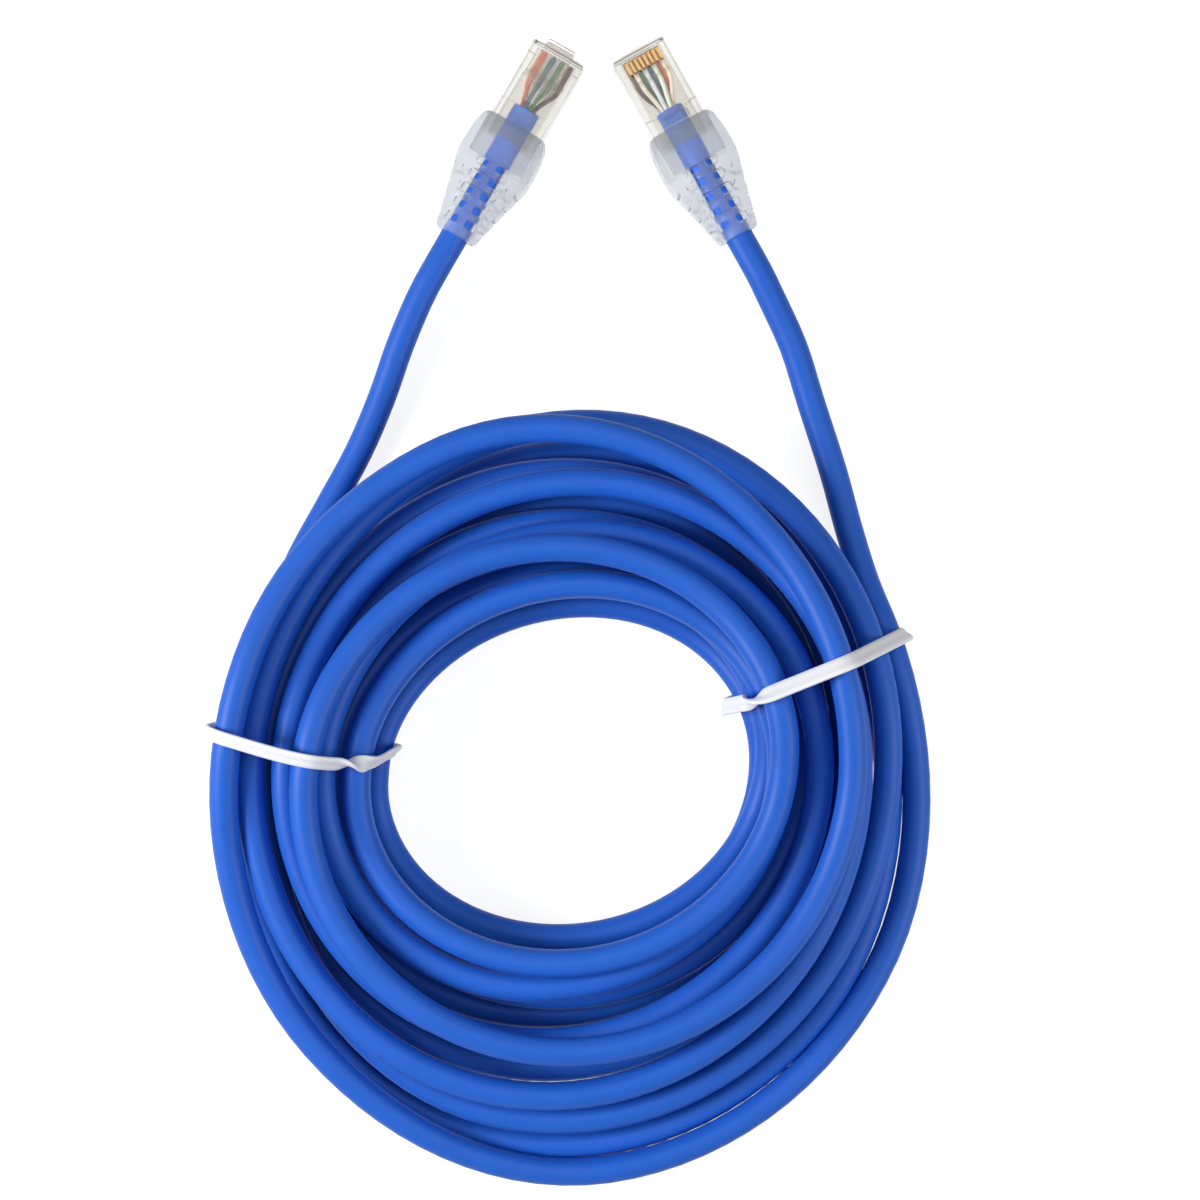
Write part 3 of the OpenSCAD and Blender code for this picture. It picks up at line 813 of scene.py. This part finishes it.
def makeJacketEnd():
    # The cut end of the jacket, open for the wires and pressed in under the strain relief bar
    v, barFront, barRear = jacketEndValues, housingValues["barFront"], housingValues["barRear"]
    front, rear, radius = wireValues["jacketFront"], plugValues["jacketExit"], cordValues["diameter"] / 2
    corner = radius - 0.001     # all but round
    sections = [(front + (rear - front) * i / v["rings"], radius, radius, corner)
                for i in range(v["rings"] + 1)]
    jacket = loft(sections, v["sides"])
    reach, press = v["pressReach"], radius - housingValues["barLow"] + v["pressGap"]
    for vertex in jacket.data.vertices:
        y = vertex.co.y
        pressed = smooth((y - barFront + reach) / reach) * smooth((barRear + reach - y) / reach)
        vertex.co.z = min(vertex.co.z, radius - press * pressed)
    hollow = rod(front - housingValues["clear"], front + v["hollowDepth"], v["hollowRadius"],
                 v["hollowSides"])
    combine(jacket, [hollow], "DIFFERENCE")
    return jacket


# ------ the boots

bootValues = {
    # place behind the nose, half width, half height and corner radius, mm
    "outside": [(17.8, 6.5, 5.6, 2.4), (18.05, 6.85, 5.95, 2.6), (18.9, 7.35, 6.42, 2.8),
                (21.5, 7.8, 6.82, 2.9), (24.5, 7.97, 6.97, 3.0), (27.2, 7.98, 6.98, 3.0),
                (29.2, 7.7, 6.85, 3.2), (33.0, 6.75, 6.32, 3.6), (38.0, 5.55, 5.45, 3.8),
                (41.5, 4.85, 4.85, 4.0), (42.6, 4.6, 4.6, 4.0), (43.1, 4.3, 4.3, 4.0),
                (43.3, 4.0, 4.0, 3.8)],
    "sides": 64, "stationStep": 1.5, "edge": 0.12,
    "pocket": (5.94, 4.1, 26.6),        # half width and half height round the plug, and where it ends
    "bore": 3.05, "boreOverlap": 0.5,   # its radius round the cord, and how far it starts inside the pocket
    "windowRows": 5, "windowPitch": 3.2, "firstWindow": 27.5, "windowX": 2.1,
    "windowLength": 2.5, "windowWidth": 1.7, "windowCorner": 0.5, "windowFloor": 2.0,
    "grooveWidth": 0.5, "flankDepth": 0.4, "faceDepth": 0.15,
    # how far the cutting tools reach, past its ends and from its middle
    "clear": 1, "windowReach": 8, "grooveReach": 12,
}


def windowCutter(x, y, low, high):
    # A window with rounded corners, between two heights
    v = bootValues
    halfLength, halfWidth = v["windowLength"] / 2, v["windowWidth"] / 2
    window = box((x - halfLength, y - halfWidth, low), (x + halfLength, y + halfWidth, high))
    activate(window)
    bpy.ops.object.mode_set(mode="EDIT")
    bpy.ops.mesh.select_mode(type="EDGE")
    bpy.ops.object.mode_set(mode="OBJECT")
    # The edges that run down into the boot
    for edge in window.data.edges:
        a, b = (window.data.vertices[i].co for i in edge.vertices)
        edge.select = abs(a.z - b.z) > (high - low) / 2
    bpy.ops.object.mode_set(mode="EDIT")
    bpy.ops.mesh.bevel(offset=v["windowCorner"], segments=5)
    bpy.ops.object.mode_set(mode="OBJECT")
    return window


def grooveCutters(y):
    # Shallow grooves across both flanks and both faces, in line with a row of windows
    v = bootValues
    _, halfWidth, halfHeight, _ = between(v["outside"], y)
    front, rear, reach = y - v["grooveWidth"] / 2, y + v["grooveWidth"] / 2, v["grooveReach"]
    cutters = []
    for side in (-1, 1):
        near, far = sorted((side * (halfWidth - v["flankDepth"]), side * reach))
        cutters.append(box((near, front, -reach), (far, rear, reach)))
        near, far = sorted((side * (halfHeight - v["faceDepth"]), side * reach))
        cutters.append(box((-reach, front, near), (reach, rear, far)))
    return cutters


def makeBoot():
    v = bootValues
    front, rear = v["outside"][0][0], v["outside"][-1][0]
    count = round((rear - front) / v["stationStep"])
    steps = {front + v["stationStep"] * i for i in range(1, count)}
    places = sorted({row[0] for row in v["outside"]} | steps)
    boot = loft([between(v["outside"], y) for y in places], v["sides"])
    halfWidth, halfHeight, deep = v["pocket"]
    cutters = [box((-halfWidth, front - v["clear"], -halfHeight), (halfWidth, deep, halfHeight)),
               rod(deep - v["boreOverlap"], rear + v["clear"], v["bore"], v["sides"])]
    for row in range(v["windowRows"]):
        y = v["firstWindow"] + row * v["windowPitch"]
        for side in (-1, 1):
            for face in (-1, 1):
                low, high = sorted((face * v["windowFloor"], face * v["windowReach"]))
                cutters.append(windowCutter(side * v["windowX"], y, low, high))
        # The row nearest the plug has no grooves beside it
        if row:
            cutters += grooveCutters(y)
    combine(boot, cutters, "DIFFERENCE")
    roundEdges(boot, v["edge"], 2, 40)
    return boot


plugPieces = {"a": [], "b": []}
crisp = 10      # degrees of bend over which an edge of the flat clear pieces is drawn sharp
for end in "ab":
    place = plugMatrix(end)
    body = "cable"
    made = plugPieces[end]
    made.append(finishPiece(makeHousing(), "housing_" + end, place, body,
                            ["plug_housing_" + end], clear, crisp))
    made.append(finishPiece(makeContacts(), "blades_" + end, place, body,
                            ["contacts_" + end], gold))
    made.append(finishPiece(makeJacketEnd(), "jacket_tip_" + end, place, body,
                            ["jacket_end_" + end], blue, 60))
    made.append(finishPiece(makeBoot(), "strain_boot_" + end, place, body,
                            ["boot_" + end], milky))
    for i, colour in enumerate(wireColours):
        wire = roundWire(wirePath(i), wireValues["diameter"] / 2, "wire")
        made.append(finishPiece(wire, "insulated_" + colour + "_" + end, place, body,
                                ["wire_" + colour + "_" + end], insulation[colour]))
    cores = joined([roundWire(wirePath(i, wireValues["coreFront"]), wireValues["core"] / 2, "core")
                    for i in range(wireCount)])
    made.append(finishPiece(cores, "cores_" + end, place, body, ["conductors_" + end], copper))
    made.append(finishPiece(makeLatch(), "latch_arm_" + end, place, "latch_" + end + "_arm",
                            ["latch_" + end], thinClear, crisp))
    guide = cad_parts["wire_guide_" + end]
    paint(guide, insideClear)
    made.append(guide)
    print("plug", end, "made")


# ------ the twist ties

tieValues = {
    "width": 3.5, "thickness": 1.1, "groove": 0.16, "grooveSpread": 0.25, "wire": 0.4, "clearance": 0.35,
    # the section's points, and how square its flat sides and its edges are
    "sides": 32, "flatness": 0.75, "squareness": 0.6,
    # the angle of the tie round the coil and its turn off square to the cable, in degrees, how far its
    # top bows along the turns, how far its inner end stands off, and where along the loop the tape
    # turns over
    "left": {"angle": 172.8, "turn": 0.6, "bow": 3.0, "slack": 0.0, "flip": (0.60, 0.68)},
    "right": {"angle": 22.4, "turn": -6.0, "bow": 0.0, "slack": 1.9, "flip": (0.58, 0.68)},
    "tailLength": 12, "tailTurns": 3, "tailScale": 0.38, "tailWidth": 1.9, "tailHeight": 1.2,
    "turnSteps": 12,                        # the points of a turn of the tail
    # the loop's first points in degrees, their later distance in mm, and how often they are evened out
    "loopStep": 5, "step": 0.7, "smoothings": 6,
}


def tieStrands(angle):
    # Where each turn passes the tie: how far out it is and its height
    turns = sum(w[0] for w in windings)
    outer, middle, inner = (Vector(ellipsePoint(math.radians(angle), across)) for across in (0, 2, 4))
    outward = (outer - inner).normalized()
    # The share of a turn from the cord's start to the tie, which may be before it
    first = ((angle - cordValues["start"] + 180) % 360 - 180) / 360
    strands = []
    for k in range(int(turns) + 2):
        t = first + k
        if 0 <= t <= turns:
            point = coilPoint(t)
            strands.append(Vector(((Vector((point.x, point.y)) - middle).dot(outward), point.z)))
    return strands, middle, outward


def tieLoop(strands, reach, slack):
    # Round all the strands at this distance from their middles, from the bottom out, over the top and back
    loop = []
    for degrees in range(-90, 271, tieValues["loopStep"]):
        normal = Vector((math.cos(math.radians(degrees)), math.sin(math.radians(degrees))))
        far = max(strands, key=lambda s: s.dot(normal))
        loop.append(far + (reach + slack * max(0.0, -normal.x)) * normal)
    bottom = (loop[0] + loop[-1]) / 2
    loop[0] = loop[-1] = bottom
    return loop


def evenly(points, step):
    # The same line with a point about every step mm
    lengths = [(b - a).length for a, b in zip(points, points[1:])]
    total = sum(lengths)
    count = round(total / step)
    out, i, walked = [], 0, 0.0
    for k in range(count + 1):
        target = total * k / count
        while i < len(lengths) - 1 and walked + lengths[i] < target:
            walked += lengths[i]
            i += 1
        part = (target - walked) / lengths[i] if lengths[i] else 0
        out.append(points[i].lerp(points[i + 1], min(1.0, part)))
    return out


def tieRoute(side):
    # Tail, loop, tail: places, the tape's scale and its turn about its own line
    v, own = tieValues, tieValues[side]
    strands, middle, outward = tieStrands(own["angle"])
    outward.rotate(Matrix.Rotation(math.radians(own["turn"]), 2))
    along = Vector((-outward.y, outward.x))
    reach = cordValues["diameter"] / 2 + v["clearance"] + v["thickness"] / 2
    loop = evenly(tieLoop(strands, reach, own["slack"]), v["step"])
    for _ in range(v["smoothings"]):
        loop = [loop[0]] + [(a + 2 * b + c) / 4 for a, b, c in zip(loop, loop[1:], loop[2:])] + [loop[-1]]
    outerEnd = max(range(len(loop)), key=lambda i: loop[i].x)
    innerEnd = min(range(len(loop)), key=lambda i: loop[i].x)
    rows = []
    for i, point in enumerate(loop):
        top = max(0.0, min(1.0, (i - outerEnd) / (innerEnd - outerEnd)))
        shift = own["bow"] * math.sin(math.pi * top) ** 1.5
        flip = smooth((i / len(loop) - own["flip"][0]) / (own["flip"][1] - own["flip"][0]))
        place = middle + outward * point.x + along * shift
        rows.append((Vector((place.x, place.y, point.y)), 1.0, math.pi * flip))
    # The two ends, twisted into a tail that runs under the turns. They open out over its first quarter,
    # reach its height over the first half and narrow over the first fifth
    low = loop[0].y
    steps = v["turnSteps"] * v["tailTurns"]
    tails = []
    for half in (0, math.pi):
        tail = []
        for i in range(1, steps + 1):
            part = i / steps
            angle = half + 2 * math.pi * v["tailTurns"] * part
            spread = v["tailWidth"] / 4 * min(1.0, 4 * part)
            height = low + (v["tailHeight"] - low) * smooth(2 * part) + spread * math.sin(angle)
            flat = middle + outward * (loop[0].x + spread * math.cos(angle)) + along * v["tailLength"] * part
            scale = 1 + (v["tailScale"] - 1) * smooth(5 * part)
            turn = 2 * math.pi * v["tailTurns"] * part
            tail.append((Vector((flat.x, flat.y, height)), scale, turn if half else -turn))
        tails.append(tail)
    turned = rows[-1][2]
    far = [(place, scale, turned + turn) for place, scale, turn in tails[1]]
    return tails[0][::-1] + rows[1:-1] + far


def sweep(name, rows, section=None, radius=0.0):
    # A flat tape, or a round wire, along the rows: each its place, scale and turn
    curve = bpy.data.curves.new(name, "CURVE")
    curve.dimensions = "3D"
    curve.twist_mode = "MINIMUM"
    curve.use_fill_caps = True
    if section:
        curve.bevel_mode = "OBJECT"
        curve.bevel_object = section
    else:
        curve.bevel_depth = radius
        curve.bevel_resolution = 3
    line = curve.splines.new("POLY")
    line.points.add(len(rows) - 1)
    for point, (place, scale, turn) in zip(line.points, rows):
        point.co = (*place, 1)
        point.radius = scale
        point.tilt = turn
    tape = bpy.data.objects.new(name, curve)
    bpy.context.scene.collection.objects.link(tape)
    activate(tape)
    bpy.ops.object.convert(target="MESH")
    tape = bpy.context.object
    bpy.ops.object.mode_set(mode="EDIT")
    bpy.ops.mesh.select_all(action="SELECT")
    bpy.ops.mesh.remove_doubles(threshold=0.0005)
    bpy.ops.mesh.normals_make_consistent(inside=False)
    bpy.ops.object.mode_set(mode="OBJECT")
    return tape


def tapeSection():
    # Flat with rounded edges and a shallow groove along the middle of both faces
    v = tieValues
    deselectAll()
    bpy.ops.mesh.primitive_circle_add(vertices=v["sides"], radius=1)
    section = bpy.context.object
    for vertex in section.data.vertices:
        x, y = vertex.co.x, vertex.co.y
        half = v["thickness"] / 2 - v["groove"] * math.exp(-(x / v["grooveSpread"]) ** 2)
        vertex.co = (math.copysign(abs(x) ** v["flatness"], x) * v["width"] / 2,
                     math.copysign(abs(y) ** v["squareness"], y) * half, 0)
    bpy.ops.object.convert(target="CURVE")
    return bpy.context.object


for side in ("left", "right"):
    rows = tieRoute(side)
    section = tapeSection()
    tape = sweep("tape", rows, section)
    bpy.data.objects.remove(section)
    flat = Matrix.Scale(mm, 4)
    finishPiece(tape, "tie_tape_" + side, flat, "cable", ["twist_tie_" + side], white, 60)
    wire = sweep("wire", [(place, 1.0, 0.0) for place, scale, turn in rows], radius=tieValues["wire"] / 2)
    finishPiece(wire, "tie_core_" + side, flat, "cable", ["tie_wire_" + side], steel, 60)
print("twist ties made")
